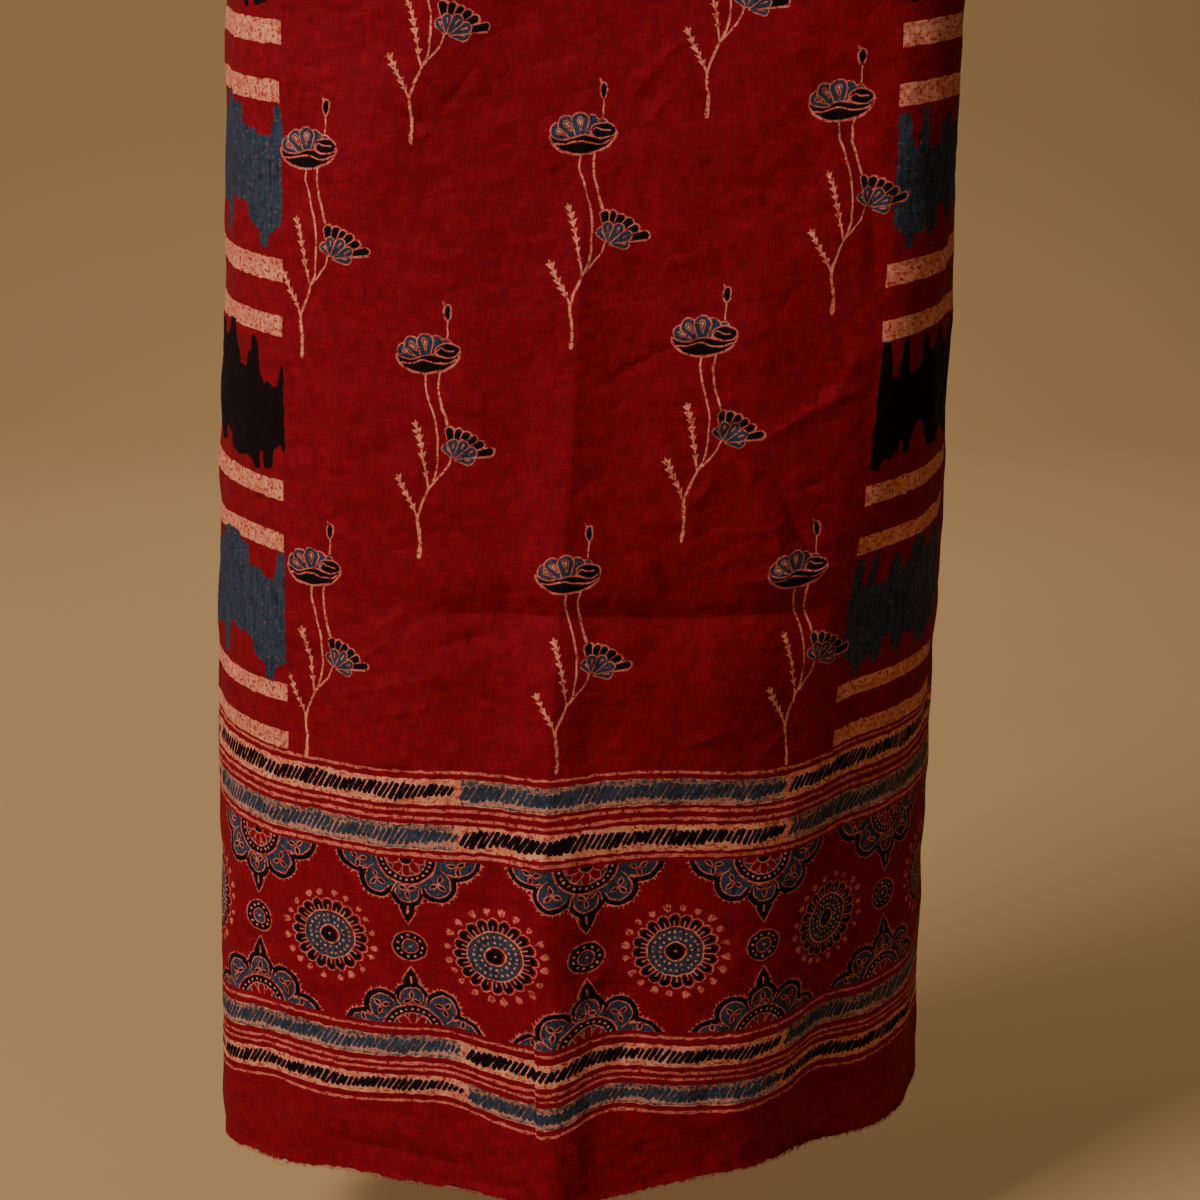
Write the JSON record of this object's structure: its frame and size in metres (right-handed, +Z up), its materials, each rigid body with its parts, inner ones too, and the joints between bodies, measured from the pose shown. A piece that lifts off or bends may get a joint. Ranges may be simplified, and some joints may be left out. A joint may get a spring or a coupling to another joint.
{
  "type": "ajrakh cloth",
  "caption": "Block-printed cotton cloth hung from its top edge in one deep curve, with flower sprigs, barred sides, a bordered end with round motifs and a raw hem.",
  "frame": {"origin": "middle of the top edge, on the printed face", "axes": "+Z up the fall of the cloth, +X to the right seen from the front, and the printed face looks towards -Y"},
  "size_m": [0.3987, 0.1715, 0.8015],
  "materials": {
    "printed_cotton": "matt plain weave, dyed madder red with cream resist, indigo and black print"
  },
  "bodies": {
    "root": {"cloth": "printed_cotton"}
  },
  "joints": []
}
